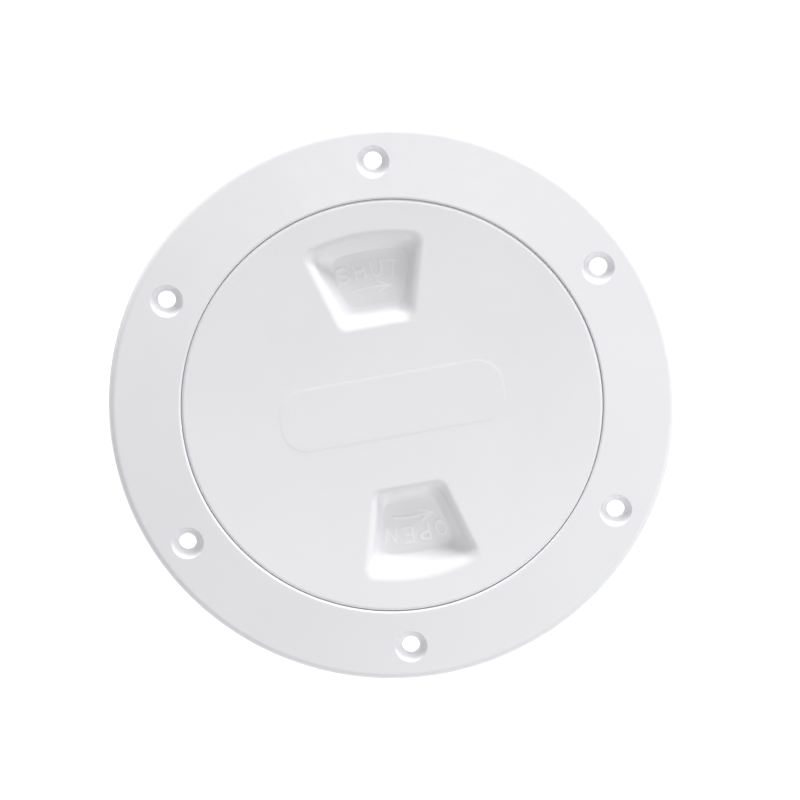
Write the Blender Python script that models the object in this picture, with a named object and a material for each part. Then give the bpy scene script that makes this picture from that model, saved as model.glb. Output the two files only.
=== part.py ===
"""Round screw-out deck hatch: a flanged frame, a lid that screws into it, and the lid's O-ring.

Metres, +Z up out of the deck.  The origin is on the hatch's axis, level with the collar's lower rim.
Every piece is built about the Z axis, which is also the axis that the lid turns about and lifts along.
"""
import math

import bmesh
import bpy

MM = 0.001
DEG = math.pi / 180.0

# ---- Heights, all measured up from the collar's lower rim ---------------------------------------
DECK_Z = 19.0 * MM             # underside of the flange, which sits on the deck
TOP_Z = 23.2 * MM              # highest line of the flange, beside the lid
LEDGE_Z = 16.9 * MM            # ledge in the frame that the O-ring lies on
RIM_UNDER_Z = 20.1 * MM        # underside of the lid's rim
SKIRT_Z = 7.5 * MM             # lower edge of the lid's threaded skirt

# ---- Frame --------------------------------------------------------------------------------------
FLANGE_R = 72.6 * MM
FLANGE_SLOPE = math.tan(3.0 * DEG)      # the flange's top falls away towards its rim
FLANGE_EDGE = 1.8 * MM                  # rounding of the flange's outer edge
RECESS_R = 54.15 * MM                   # well that the lid's rim drops into
SEAM_FILLET = 0.6 * MM                  # rounding on both sides of the seam
COLLAR_TOP_R = 56.6 * MM
COLLAR_LOW_R = 56.0 * MM                # the collar has a little draft
GROOVE_RADII = (59.4 * MM, 69.6 * MM)   # sealant grooves under the flange
GROOVE_WIDTH = 1.2 * MM
GROOVE_DEPTH = 0.6 * MM
CHAMFER = 0.7 * MM

# ---- Screw holes --------------------------------------------------------------------------------
HOLE_COUNT = 6
HOLE_FIRST = 94.4 * DEG
HOLE_CIRCLE_R = 63.75 * MM
HOLE_R = 2.3 * MM
SINK_R = 4.1 * MM

# ---- Two-start thread, right-handed -------------------------------------------------------------
STARTS = 2
LEAD = 8.0 * MM
FEMALE_ROOT_R = 52.2 * MM
FEMALE_CREST_R = 50.8 * MM
FEMALE_Z = (4.6 * MM, 15.3 * MM)
MALE_ROOT_R = 50.3 * MM
MALE_CREST_R = 51.8 * MM
MALE_Z = (9.0 * MM, 15.3 * MM)
RIDGE_ROOT_HALF = 0.95 * MM    # half the height of a ridge where it leaves the wall
RIDGE_CREST_HALF = 0.5 * MM    # half its height at the crest
RIDGE_RUNOUT = 20.0 * DEG      # a ridge fades in and out over this turn
RIDGE_EMBED = 0.5 * MM         # how far a ridge is let into its wall

# ---- Lid ----------------------------------------------------------------------------------------
LID_TURN = 10.2 * DEG          # how far round the lid stands when it is shut
LID_R = 53.85 * MM
LID_EDGE_Z = 23.1 * MM
DISH = 1.0 * MM                # the lid's face is dished by this much at its centre
PLATE = 3.0 * MM
NECK_R = 51.0 * MM             # the O-ring is stretched over this neck
SKIRT_IN_R = 47.6 * MM
RIB_THICK = 2.0 * MM
RIB_Z = 15.8 * MM              # lower edge of the stiffening ribs
RIB_RING_R = 14.0 * MM
RIB_ANGLES = (0.0, 40.0, 140.0, 180.0, 220.0, 320.0)

# ---- Finger wells, in the lid's own frame: u across, v out from the lid's centre ----------------
WELL_OUTER_R = 45.1 * MM       # outer edge, an arc about the lid's centre
WELL_INNER_V = 21.7 * MM
WELL_INNER_HALF = 8.6 * MM
WELL_OUTER_HALF = 15.1 * MM
WELL_OUTER_V = 42.4 * MM
WELL_CORNER = 3.0 * MM
WELL_FLOOR_Z = 17.6 * MM
WELL_WALL = 2.2 * MM
WELL_SLOPES = {"inner": 66.0 * DEG, "right": 70.0 * DEG, "outer": 46.0 * DEG, "left": 62.0 * DEG}
WELL_SWEEPS = {"inner": 2.5 * MM, "right": 0.8 * MM, "outer": 0.8 * MM, "left": 1.6 * MM}

# ---- Raised marks on the wells' floors ----------------------------------------------------------
MARK_RISE = 0.4 * MM
STROKE = 0.7 * MM
TEXT_R = 35.4 * MM
TEXT_PITCH = 7.1 * DEG
TEXT_WIDE = 2.4 * MM
TEXT_HIGH = 3.9 * MM
ARROW_R = 30.6 * MM
ARROW_HALF = 9.2 * DEG
ARROW_HEAD = 3.2 * MM
ARROW_BARB = 1.5 * MM

# ---- O-ring -------------------------------------------------------------------------------------
CORD_R = 1.3 * MM
CORD_CIRCLE_R = 52.6 * MM
CORD_Z = LEDGE_Z + 0.3 * MM + CORD_R

SEGMENTS = 72                  # sides of every large turned piece
HOLE_SEGMENTS = 20
CORD_SEGMENTS = 10
WELL_STEPS = 4                 # steps round each corner and down each sweep of a well


# ---- Making and joining solids ------------------------------------------------------------------
def clear_scene():
    for old in list(bpy.data.objects):
        bpy.data.objects.remove(old, do_unlink=True)


def make_object(name, bm):
    """Turn a bmesh into an object whose faces all point outwards."""
    bmesh.ops.recalc_face_normals(bm, faces=bm.faces)
    mesh = bpy.data.meshes.new(name)
    bm.to_mesh(mesh)
    bm.free()
    obj = bpy.data.objects.new(name, mesh)
    bpy.context.scene.collection.objects.link(obj)
    return obj


def turned(name, profile, segments):
    """Spin a closed (radius, height) profile about the Z axis; a side along the axis itself is left out."""
    bm = bmesh.new()
    verts = [bm.verts.new((r, 0.0, z)) for r, z in profile]
    sides = [(i - 1, i) for i in range(len(verts)) if profile[i - 1][0] > 0.0 or profile[i][0] > 0.0]
    edges = [bm.edges.new((verts[i], verts[j])) for i, j in sides]
    bmesh.ops.spin(bm, geom=verts + edges, cent=(0, 0, 0), axis=(0, 0, 1), dvec=(0, 0, 0),
                   angle=2 * math.pi, steps=segments, use_merge=True)
    on_axis = [v for v in bm.verts if math.hypot(v.co.x, v.co.y) < 1e-7]
    bmesh.ops.remove_doubles(bm, verts=on_axis, dist=1e-7)
    return make_object(name, bm)


def lofted(name, rings):
    """Skin a stack of rings that all have the same number of points, and cap both ends."""
    bm = bmesh.new()
    rows = [[bm.verts.new(p) for p in ring] for ring in rings]
    for low, high in zip(rows, rows[1:]):
        for i in range(len(low)):
            bm.faces.new((low[i - 1], low[i], high[i], high[i - 1]))
    bm.faces.new(list(reversed(rows[0])))
    bm.faces.new(rows[-1])
    return make_object(name, bm)


def combine(target, tools, operation):
    """Add or cut the tools, then leave only the finished solid."""
    for tool in tools:
        step = target.modifiers.new(operation.lower(), "BOOLEAN")
        step.operation = operation
        step.solver = "EXACT"
        step.object = tool
    bpy.context.view_layer.update()
    evaluated = target.evaluated_get(bpy.context.evaluated_depsgraph_get())
    result = bpy.data.meshes.new_from_object(evaluated)
    target.modifiers.clear()
    target.data = result
    for tool in tools:
        bpy.data.objects.remove(tool, do_unlink=True)


def arc(centre, radius, start, end, steps):
    """Points on an arc, in a plane; radius may be one number or a pair."""
    rx, ry = radius if isinstance(radius, tuple) else (radius, radius)
    turns = [start + (end - start) * i / steps for i in range(steps + 1)]
    return [(centre[0] + rx * math.cos(t), centre[1] + ry * math.sin(t)) for t in turns]


def plastic(name, colour, roughness):
    material = bpy.data.materials.new(name)
    material.use_nodes = True
    shader = material.node_tree.nodes["Principled BSDF"]
    shader.inputs["Base Color"].default_value = (*colour, 1.0)
    shader.inputs["Roughness"].default_value = roughness
    shader.inputs["Metallic"].default_value = 0.0
    return material


def finish(obj, material):
    obj.data.materials.clear()
    obj.data.materials.append(material)
    obj.data.shade_smooth()
    obj.data.set_sharp_from_angle(angle=30.0 * DEG)


# ---- Thread -------------------------------------------------------------------------------------
def thread_ridges(prefix, root_r, crest_r, z_range, shift):
    """The ridges of every start, each a trapezium swept along a helix and faded out at both ends."""
    outward = 1.0 if crest_r > root_r else -1.0
    buried_r = root_r - outward * RIDGE_EMBED
    slope = (RIDGE_ROOT_HALF - RIDGE_CREST_HALF) / abs(crest_r - root_r)
    turn = 2 * math.pi * (z_range[1] - z_range[0]) / LEAD
    step = 2 * math.pi / SEGMENTS
    count = int(round(turn / step))
    ridges = []
    for start in range(STARTS):
        rings = []
        for i in range(count + 1):
            travelled = i * step
            left = count * step - travelled
            fade = min(1.0, travelled / RIDGE_RUNOUT, left / RIDGE_RUNOUT)
            tip_r = root_r + outward * ((abs(crest_r - root_r) + 0.1 * MM) * fade - 0.1 * MM)
            tip_half = RIDGE_ROOT_HALF - slope * abs(tip_r - root_r)
            base_half = RIDGE_ROOT_HALF + slope * RIDGE_EMBED
            z = z_range[0] + LEAD * travelled / (2 * math.pi)
            angle = travelled + shift + 2 * math.pi * start / STARTS + 0.5 * step
            section = [(buried_r, -base_half), (tip_r, -tip_half), (tip_r, tip_half), (buried_r, base_half)]
            rings.append([(r * math.cos(angle), r * math.sin(angle), z + dz) for r, dz in section])
        ridges.append(lofted(f"{prefix}_{start}", rings))
    return ridges


def helix_angle(z):
    """How far round a ridge has come by height z."""
    return 2 * math.pi * z / LEAD


# ---- Frame --------------------------------------------------------------------------------------
def flange_top(r):
    return TOP_Z - FLANGE_SLOPE * max(0.0, r - RECESS_R - SEAM_FILLET)


def sealant_groove(r):
    """Profile points of one groove in the flange's underside, from its outer edge inwards."""
    half = GROOVE_WIDTH / 2
    inset = GROOVE_DEPTH / 3
    return [(r + half, DECK_Z), (r + half - inset, DECK_Z + GROOVE_DEPTH),
            (r - half + inset, DECK_Z + GROOVE_DEPTH), (r - half, DECK_Z)]


def frame_profile():
    edge_r = FLANGE_R - FLANGE_EDGE
    edge_z = flange_top(edge_r) - FLANGE_EDGE
    profile = arc((RECESS_R + SEAM_FILLET, TOP_Z - SEAM_FILLET), SEAM_FILLET, math.pi, math.pi / 2, 2)
    profile += arc((edge_r, edge_z), FLANGE_EDGE, math.pi / 2, 0.0, 4)
    profile += [(FLANGE_R, DECK_Z + CHAMFER / 2), (FLANGE_R - CHAMFER / 2, DECK_Z)]
    for r in sorted(GROOVE_RADII, reverse=True):
        profile += sealant_groove(r)
    profile += [(COLLAR_TOP_R, DECK_Z), (COLLAR_LOW_R, CHAMFER), (COLLAR_LOW_R - CHAMFER, 0.0),
                (FEMALE_ROOT_R + CHAMFER, 0.0), (FEMALE_ROOT_R, CHAMFER),
                (FEMALE_ROOT_R, LEDGE_Z - CHAMFER / 2), (FEMALE_ROOT_R + CHAMFER / 2, LEDGE_Z),
                (RECESS_R, LEDGE_Z)]
    return profile


def countersink_cutter(name):
    """A screw hole's cutter: a straight shank and a 90 degree cone, both run past the flange."""
    top_z = flange_top(HOLE_CIRCLE_R)
    cone_z = top_z - (SINK_R - HOLE_R)
    over = 1.5 * MM
    profile = [(0.0, top_z + over), (SINK_R + over, top_z + over), (HOLE_R, cone_z),
               (HOLE_R, DECK_Z - over), (0.0, DECK_Z - over)]
    return turned(name, profile, HOLE_SEGMENTS)


def build_frame():
    frame = turned("frame", frame_profile(), SEGMENTS)
    ridges = thread_ridges("female_ridge", FEMALE_ROOT_R, FEMALE_CREST_R, FEMALE_Z,
                           helix_angle(FEMALE_Z[0]))
    combine(frame, ridges, "UNION")
    cutters = []
    for i in range(HOLE_COUNT):
        angle = HOLE_FIRST - 2 * math.pi * i / HOLE_COUNT
        cutter = countersink_cutter(f"screw_hole_{i}")
        cutter.location = (HOLE_CIRCLE_R * math.cos(angle), HOLE_CIRCLE_R * math.sin(angle), 0.0)
        cutters.append(cutter)
    combine(frame, cutters, "DIFFERENCE")
    finish(frame, plastic("frame_plastic", (0.80, 0.80, 0.83), 0.45))
    return frame


# ---- Lid ----------------------------------------------------------------------------------------
def lid_top(r):
    """Height of the dished face at a radius."""
    return LID_EDGE_Z - DISH * (1.0 - (r / LID_R) ** 2)


def lid_profile():
    radii = [LID_R * f for f in (0.0, 0.3, 0.55, 0.78)]
    top = [(r, lid_top(r)) for r in radii]
    edge_z = lid_top(LID_R - SEAM_FILLET) - SEAM_FILLET
    top += arc((LID_R - SEAM_FILLET, edge_z), SEAM_FILLET, math.pi / 2, 0.0, 2)
    neck = [(LID_R, RIM_UNDER_Z + CHAMFER / 2), (LID_R - CHAMFER / 2, RIM_UNDER_Z), (NECK_R, RIM_UNDER_Z),
            (NECK_R, LEDGE_Z + CHAMFER / 2), (MALE_ROOT_R, LEDGE_Z - CHAMFER),
            (MALE_ROOT_R, SKIRT_Z + CHAMFER), (MALE_ROOT_R - CHAMFER, SKIRT_Z),
            (SKIRT_IN_R + CHAMFER / 2, SKIRT_Z), (SKIRT_IN_R, SKIRT_Z + CHAMFER / 2)]
    inside_r = SKIRT_IN_R - CHAMFER
    under = [(SKIRT_IN_R, lid_top(inside_r) - PLATE - CHAMFER)]
    under += [(r, lid_top(r) - PLATE) for r in [inside_r] + radii[2::-1]]
    return top + neck + under


def well_half(outer_r, inner_v, side_in, corner, steps):
    """The right-hand half of a well's outline, from its inner corner round to the end of its outer arc.

    The side's line is moved inwards by side_in.  Both corners are arcs that touch their two edges.
    """
    lean = math.atan2(WELL_OUTER_HALF - WELL_INNER_HALF, WELL_OUTER_V - WELL_INNER_V)
    inward = (-math.cos(lean), math.sin(lean))
    point = (WELL_INNER_HALF + inward[0] * side_in, WELL_INNER_V + inward[1] * side_in)
    reach = inner_v + corner - point[1]
    inner_centre = (point[0] - (corner - math.sin(lean) * reach) / math.cos(lean), inner_v + corner)
    base = (point[0] + inward[0] * corner, point[1] + inward[1] * corner)
    along = base[0] * math.sin(lean) + base[1] * math.cos(lean)
    short = base[0] ** 2 + base[1] ** 2 - (outer_r - corner) ** 2
    travel = -along + math.sqrt(along * along - short)
    outer_centre = (base[0] + travel * math.sin(lean), base[1] + travel * math.cos(lean))
    swing = math.atan2(outer_centre[1], outer_centre[0])
    points = [(u, v, ("inner", "right", i / steps))
              for i, (u, v) in enumerate(arc(inner_centre, corner, -math.pi / 2, -lean, steps))]
    points += [(u, v, ("right", "outer", i / steps))
               for i, (u, v) in enumerate(arc(outer_centre, corner, -lean, swing, steps))]
    return points, swing


def well_outline(shrink, steps):
    """A well's outline, counter-clockwise; shrink says how far each side has moved in from the mouth.

    Each point also says which two sides it lies between, and how far from the first to the second.
    """
    outer_r = WELL_OUTER_R - shrink["outer"]
    inner_v = WELL_INNER_V + shrink["inner"]
    right, right_swing = well_half(outer_r, inner_v, shrink["right"], WELL_CORNER, steps)
    left, left_swing = well_half(outer_r, inner_v, shrink["left"], WELL_CORNER, steps)
    rim = arc((0.0, 0.0), outer_r, right_swing, math.pi - left_swing, 2 * steps)
    outline = right + [(u, v, ("outer", "outer", 0.0)) for u, v in rim[1:-1]]
    for u, v, (first, second, share) in reversed(left):
        sides = ["left" if side == "right" else side for side in (first, second)]
        outline.append((-u, v, (*sides, share)))
    return outline


def well_section(side, wall, top, steps):
    """(Distance in from the mouth, height) down one side: a straight wall, then a sweep into the floor.

    With a wall thickness it is the same line offset outwards, for the tub under the well.
    """
    slope, sweep = WELL_SLOPES[side], WELL_SWEEPS[side]
    depth = lid_top(0.5 * (WELL_OUTER_R + WELL_INNER_V)) - WELL_FLOOR_Z
    flat_from = depth / math.tan(slope) + sweep * math.tan(slope / 2)
    curve = []
    for i in range(steps + 1):
        turn = slope * (1 - i / steps)
        height = WELL_FLOOR_Z + sweep - (sweep + wall) * math.cos(turn)
        curve.append((flat_from - (sweep + wall) * math.sin(turn), height))
    start, level = curve[0]
    return [(start - (top - level) / math.tan(slope), top)] + curve


def well_solid(name, wall, top, steps):
    """The hollow of a well, or with a wall thickness the tub round it, from a level above down."""
    sections = {side: well_section(side, wall, top, steps) for side in WELL_SLOPES}
    rings = []
    for level in range(steps + 2):
        outline = well_outline({side: points[level][0] for side, points in sections.items()}, steps)
        ring = []
        for u, v, (first, second, share) in outline:
            low, high = sections[first][level][1], sections[second][level][1]
            ring.append((u, v, low + (high - low) * share))
        rings.append(ring)
    return lofted(name, rings[::-1])


def half_turn(obj, half):
    """Place a piece in the first or, turned half round, the second well."""
    obj.rotation_euler.z = math.pi * half


def stroke_solid(name, points, closed):
    """A raised mark: a constant-width band along a line of (u, v) points, let into the well's floor."""
    count = len(points)
    left, right = [], []
    for i in range(count):
        before = points[i - 1] if (i or closed) else points[i]
        after = points[(i + 1) % count] if (i < count - 1 or closed) else points[i]
        into = math.atan2(points[i][1] - before[1], points[i][0] - before[0])
        out = math.atan2(after[1] - points[i][1], after[0] - points[i][0])
        if before == points[i]:
            into = out
        if after == points[i]:
            out = into
        bend = math.remainder(out - into, 2 * math.pi) / 2
        reach = STROKE / 2 / math.cos(bend)
        normal = into + bend + math.pi / 2
        left.append((points[i][0] + reach * math.cos(normal), points[i][1] + reach * math.sin(normal)))
        right.append((points[i][0] - reach * math.cos(normal), points[i][1] - reach * math.sin(normal)))
    bm = bmesh.new()
    levels = []
    for z in (WELL_FLOOR_Z - MARK_RISE, WELL_FLOOR_Z + MARK_RISE):
        levels.append([[bm.verts.new((u, v, z)) for u, v in side] for side in (left, right)])
    (low_l, low_r), (high_l, high_r) = levels
    for i in range(count if closed else count - 1):
        j = (i + 1) % count
        bm.faces.new((high_l[i], high_r[i], high_r[j], high_l[j]))
        bm.faces.new((low_l[j], low_r[j], low_r[i], low_l[i]))
        bm.faces.new((low_l[i], high_l[i], high_l[j], low_l[j]))
        bm.faces.new((low_r[j], high_r[j], high_r[i], low_r[i]))
    if not closed:
        bm.faces.new((low_l[0], low_r[0], high_r[0], high_l[0]))
        bm.faces.new((high_l[-1], high_r[-1], low_r[-1], low_l[-1]))
    return make_object(name, bm)


def glyph_strokes(letter):
    """A plain block letter as (points, closed) strokes in a cell one wide and one high."""
    bowl = arc((0.5, 0.75), (0.5, 0.25), 25 * DEG, 270 * DEG, 5)
    tail = arc((0.5, 0.25), (0.5, 0.25), 90 * DEG, -155 * DEG, 5)
    shapes = {
        "S": [(bowl + tail[1:], False)],
        "H": [([(0, 0), (0, 1)], False), ([(1, 0), (1, 1)], False), ([(0, 0.5), (1, 0.5)], False)],
        "U": [([(0, 1)] + arc((0.5, 0.32), (0.5, 0.32), math.pi, 2 * math.pi, 4) + [(1, 1)], False)],
        "T": [([(0, 1), (1, 1)], False), ([(0.5, 1), (0.5, 0)], False)],
        "O": [(arc((0.5, 0.5), (0.5, 0.5), 0.0, 2 * math.pi * 9 / 10, 9), True)],
        "P": [([(0, 0), (0, 1)], False),
              ([(0.1, 1)] + arc((0.6, 0.75), (0.4, 0.25), math.pi / 2, -math.pi / 2, 4)
               + [(0.1, 0.5)], False)],
        "E": [([(1, 1), (0, 1), (0, 0), (1, 0)], False), ([(0, 0.5), (0.8, 0.5)], False)],
        "N": [([(0, 0), (0, 1), (1, 0), (1, 1)], False)],
    }
    return shapes[letter]


def text_strokes(word):
    """The strokes of a word that follows an arc about the lid's centre."""
    strokes = []
    for i, letter in enumerate(word):
        middle = math.pi / 2 + TEXT_PITCH * ((len(word) - 1) / 2 - i)
        for cell_points, closed in glyph_strokes(letter):
            points = []
            for x, y in cell_points:
                r = TEXT_R + (y - 0.5) * TEXT_HIGH
                angle = middle - (x - 0.5) * TEXT_WIDE / TEXT_R
                points.append((r * math.cos(angle), r * math.sin(angle)))
            strokes.append((points, closed))
    return strokes


def arrow_strokes(sense):
    """A curved arrow; sense is -1 for clockwise and 1 for counter-clockwise, seen from above."""
    tip = math.pi / 2 + sense * ARROW_HALF
    shaft = arc((0.0, 0.0), ARROW_R, math.pi / 2 - sense * ARROW_HALF, tip, 4)
    back = tip - sense * ARROW_HEAD / ARROW_R
    point = (ARROW_R * math.cos(tip), ARROW_R * math.sin(tip))
    barbs = [(r * math.cos(back), r * math.sin(back)) for r in (ARROW_R - ARROW_BARB, ARROW_R + ARROW_BARB)]
    return [(shaft, False), ([barbs[0], point, barbs[1]], False)]


def mark_solids(half, word, sense):
    solids = []
    for i, (points, closed) in enumerate(text_strokes(word) + arrow_strokes(sense)):
        solid = stroke_solid(f"mark_{word}_{i}", points, closed)
        half_turn(solid, half)
        solids.append(solid)
    return solids


def rib(name, angle):
    """A straight stiffening rib from the ring rib out to the skirt."""
    inner, outer = RIB_RING_R - RIB_THICK / 2, SKIRT_IN_R + RIB_THICK / 2
    half = RIB_THICK / 2
    rings = []
    for z, margin in ((RIB_Z, 0.2 * MM), (lid_top(0.0) - PLATE / 2, 0.0)):
        edge = half - margin
        rings.append([(inner, -edge, z), (outer, -edge, z), (outer, edge, z), (inner, edge, z)])
    solid = lofted(name, rings)
    solid.rotation_euler.z = angle * DEG
    return solid


def ring_rib():
    outer, inner = RIB_RING_R + RIB_THICK / 2, RIB_RING_R - RIB_THICK / 2
    top = lid_top(0.0) - PLATE / 2
    return turned("ring_rib", [(inner, top), (outer, top), (outer, RIB_Z), (inner, RIB_Z)], 24)


def build_lid():
    lid = turned("lid", lid_profile(), SEGMENTS)
    added = [ring_rib()] + [rib(f"rib_{i}", angle) for i, angle in enumerate(RIB_ANGLES)]
    for half in (0, 1):
        tub = well_solid(f"well_tub_{half}", WELL_WALL, lid_top(0.0) - PLATE / 2, WELL_STEPS)
        half_turn(tub, half)
        added.append(tub)
    added += thread_ridges("male_ridge", MALE_ROOT_R, MALE_CREST_R, MALE_Z,
                           helix_angle(MALE_Z[0]) + math.pi / STARTS - LID_TURN)
    combine(lid, added, "UNION")
    hollows = []
    for half in (0, 1):
        hollow = well_solid(f"well_{half}", 0.0, LID_EDGE_Z + 1.0 * MM, WELL_STEPS)
        half_turn(hollow, half)
        hollows.append(hollow)
    combine(lid, hollows, "DIFFERENCE")
    combine(lid, mark_solids(0, "SHUT", -1) + mark_solids(1, "OPEN", 1), "UNION")
    lid.rotation_euler.z = LID_TURN
    finish(lid, plastic("lid_plastic", (0.80, 0.80, 0.82), 0.45))
    return lid


# ---- O-ring -------------------------------------------------------------------------------------
def build_o_ring():
    section = arc((CORD_CIRCLE_R, CORD_Z), CORD_R, 0.0, -2 * math.pi * (CORD_SEGMENTS - 1) / CORD_SEGMENTS,
                  CORD_SEGMENTS - 1)
    ring = turned("o_ring", section, SEGMENTS)
    finish(ring, plastic("o_ring_rubber", (0.02, 0.02, 0.02), 0.6))
    return ring


clear_scene()
build_frame()
build_lid()
build_o_ring()
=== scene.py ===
"""Looks of the screw-out deck hatch: fine meshes and materials for its frame, lid and O-ring."""
import math

import bmesh
import bpy
import numpy as np
from mathutils import Matrix, Vector, geometry, kdtree


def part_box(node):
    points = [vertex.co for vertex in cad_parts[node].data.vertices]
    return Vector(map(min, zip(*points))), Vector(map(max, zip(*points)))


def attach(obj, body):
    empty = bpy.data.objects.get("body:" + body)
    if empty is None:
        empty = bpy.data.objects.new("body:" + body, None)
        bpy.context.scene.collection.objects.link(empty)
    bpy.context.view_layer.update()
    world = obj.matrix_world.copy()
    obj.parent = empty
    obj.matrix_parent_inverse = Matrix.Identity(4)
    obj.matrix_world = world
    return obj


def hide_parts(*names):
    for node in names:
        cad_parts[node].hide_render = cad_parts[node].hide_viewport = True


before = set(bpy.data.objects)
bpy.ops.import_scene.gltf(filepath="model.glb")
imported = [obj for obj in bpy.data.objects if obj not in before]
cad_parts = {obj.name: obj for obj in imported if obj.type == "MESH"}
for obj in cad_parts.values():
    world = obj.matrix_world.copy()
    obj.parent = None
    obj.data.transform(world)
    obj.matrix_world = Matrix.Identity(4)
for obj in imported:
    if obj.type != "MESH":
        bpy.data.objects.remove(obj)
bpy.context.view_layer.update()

MM = 0.001
DEG = math.pi / 180.0

# ---- Sizes of the frame: the box gives the flange's rim and top ---------------------------------
FRAME_LOW, FRAME_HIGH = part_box("frame")
FLANGE_R = FRAME_HIGH[0]
TOP_Z = FRAME_HIGH[2]
BASE_Z = FRAME_LOW[2]
DECK_Z = BASE_Z + 19.0 * MM
LEDGE_Z = BASE_Z + 16.9 * MM
FLANGE_SLOPE = math.tan(3.0 * DEG)
FLANGE_EDGE = 1.8 * MM
RECESS_R = 54.1 * MM
SEAM_FILLET = 0.6 * MM
COLLAR_TOP_R = 56.6 * MM
COLLAR_LOW_R = 56.0 * MM
GROOVE_RADII = (59.4 * MM, 69.6 * MM)
GROOVE_WIDTH = 1.2 * MM
GROOVE_DEPTH = 0.6 * MM
GROOVE_DRAFT = 0.2 * MM
GROOVE_FILLETS = (0.12 * MM, 0.18 * MM)   # at the lips and at the roots
GROOVE_BAND = 0.35 * MM                   # turned band beside a groove

# ---- Screw holes --------------------------------------------------------------------------------
HOLE_COUNT = 6
HOLE_FIRST = 94.4 * DEG
HOLE_CIRCLE_R = 63.75 * MM
HOLE_R = 2.3 * MM
SINK_R = 4.1 * MM
SINK_WAIST = (0.45 * MM, 0.3 * MM)   # the bowl's bend: in from its mouth, and up from the bore's top edge
HOLE_EDGE = 0.16 * MM                # rounding of the mouth and of the bore's lower edge
HOLE_SOFT = 0.14 * MM                # rounding of the bore's top edge
HOLE_APRON = 0.8 * MM                # flange meshed round the mouth with the hole

# ---- Thread -------------------------------------------------------------------------------------
STARTS = 2
LEAD = 8.0 * MM
FEMALE_ROOT_R = 52.2 * MM
FEMALE_CREST_R = 50.8 * MM
FEMALE_Z = (4.6 * MM, 15.3 * MM)
MALE_ROOT_R = 50.3 * MM
MALE_CREST_R = 51.8 * MM
MALE_Z = (9.0 * MM, 15.3 * MM)
RIDGE_ROOT_HALF = 0.95 * MM
RIDGE_CREST_HALF = 0.5 * MM
RIDGE_RUNOUT = 20.0 * DEG
RIDGE_EMBED = 0.5 * MM
RIDGE_SINK = 0.1 * MM          # how far a ridge's ends sink below its root

# ---- Lid ----------------------------------------------------------------------------------------
LID_TURN = 10.2 * DEG
LID_R = 54.0 * MM
LID_FILLET = 0.8 * MM
LID_EDGE_Z = TOP_Z - 0.1 * MM
DISH = 1.0 * MM
PLATE = 3.0 * MM
RIM_UNDER_Z = BASE_Z + 20.1 * MM
SKIRT_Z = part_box("lid")[0][2]
NECK_R = 51.0 * MM
SKIRT_IN_R = 47.6 * MM
RIB_THICK = 2.0 * MM
RIB_Z = BASE_Z + 15.8 * MM
RIB_RING_R = 14.0 * MM
RIB_FILLET = 0.4 * MM
RIB_DRAFT = 0.15 * MM          # how much thicker each side of a rib is at its root
RIB_ANGLES = (0.0, 40.0, 140.0, 180.0, 220.0, 320.0)

# ---- Finger wells, in the lid's own frame: u across, v out from the lid's centre ----------------
WELL_OUTER_R = 45.1 * MM
WELL_INNER_V = 22.1 * MM
WELL_INNER_HALF = 8.73 * MM
WELL_OUTER_HALF = 14.5 * MM
WELL_OUTER_V = 42.4 * MM
WELL_CORNER = 3.0 * MM
WELL_FLOOR_Z = BASE_Z + 17.6 * MM
WELL_WALL = 2.2 * MM
TUB_LIP = 0.3 * MM             # rounding where a well's shell meets the lid's underside
# Each side falls from the mouth at its first slope as far as its break, and on at its second slope to
# the floor: (rounding at the mouth, first slope, drop of the break, rounding there, second slope,
# rounding at the floor).
WELL_SIDES = {
    "inner": (2.0 * MM, 66.0 * DEG, 2.5 * MM, 1.0 * MM, 66.0 * DEG, 3.0 * MM),
    "right": (2.4 * MM, 70.0 * DEG, 2.5 * MM, 1.0 * MM, 70.0 * DEG, 0.8 * MM),
    "outer": (3.0 * MM, 48.0 * DEG, 2.6 * MM, 2.0 * MM, 42.0 * DEG, 0.5 * MM),
    "left": (2.4 * MM, 66.0 * DEG, 2.9 * MM, 1.2 * MM, 42.0 * DEG, 0.6 * MM),
}
WELL_TRIMS = (0.0, 0.8 * MM)   # how much nearer its middle the right side of each well's mouth is
WELL_LEVELS = 52               # rings from a well's mouth to its floor
WELL_APRON = 2.0 * MM          # room outside the mouth for its rounding
WELL_REACH = 3.0 * MM          # room on the floor for the rounding there
WELL_STEP = 3.0 * DEG

# ---- Raised marks -------------------------------------------------------------------------------
MARK_RISE = 0.12 * MM
MARK_SOFT = 0.55 * MM          # width of a mark's sloping edge
STROKE = 0.7 * MM
TEXT_R = 35.4 * MM
TEXT_PITCH = 7.1 * DEG
TEXT_WIDE = 2.4 * MM
TEXT_HIGH = 3.9 * MM
ARROW_R = 30.6 * MM
ARROW_HALF = 9.2 * DEG
ARROW_HEAD = 3.2 * MM
ARROW_BARB = 1.5 * MM
PLAQUE_HALF = (29.0 * MM, 8.1 * MM)     # a blank, very low pad at the lid's centre
PLAQUE_CORNER = 6.5 * MM
PLAQUE_RISE = 0.042 * MM
PLAQUE_EDGE = 0.6 * MM                 # width of the pad's sloping edge

# ---- O-ring -------------------------------------------------------------------------------------
CORD_R = 1.3 * MM
CORD_CIRCLE_R = 52.6 * MM
CORD_CLEAR = 0.05 * MM         # how much thinner the cord is than its CAD, so that its flash fits in
FLASH = 0.04 * MM
CORD_Z = 0.5 * (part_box("o_ring")[0][2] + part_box("o_ring")[1][2])

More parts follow.
